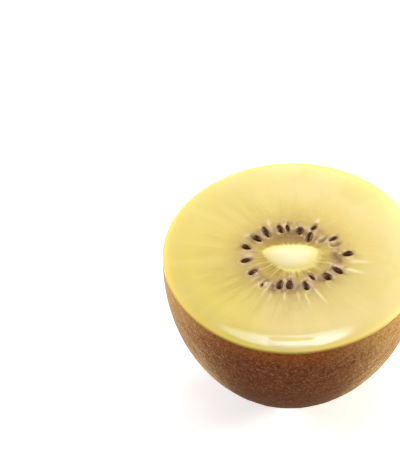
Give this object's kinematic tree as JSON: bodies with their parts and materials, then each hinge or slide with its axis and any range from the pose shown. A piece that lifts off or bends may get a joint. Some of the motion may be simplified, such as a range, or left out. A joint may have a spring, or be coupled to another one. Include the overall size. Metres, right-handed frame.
{
  "type": "golden kiwi fruit half",
  "caption": "Half a golden kiwi fruit, cut across the middle and standing cut face up: thin brown skin, golden flesh with a ring of dark seeds, pale core.",
  "frame": {"origin": "middle of the small flat spot round the stem scar that the half stands on", "axes": "+Z along the fruit's own axis, out of the cut face; +X along the long way of the core in the cut face"},
  "size_m": [0.0522, 0.052, 0.0374],
  "materials": {
    "skin": "matt brown skin with fine lighter speckles",
    "flesh": "moist, slightly translucent golden flesh",
    "core": "moist cream tissue",
    "seed": "glossy, dark purple-brown",
    "scar": "dry, woody stem scar"
  },
  "bodies": {
    "root": {"skin": "skin", "flesh": "flesh", "core": "core"}
  },
  "joints": []
}
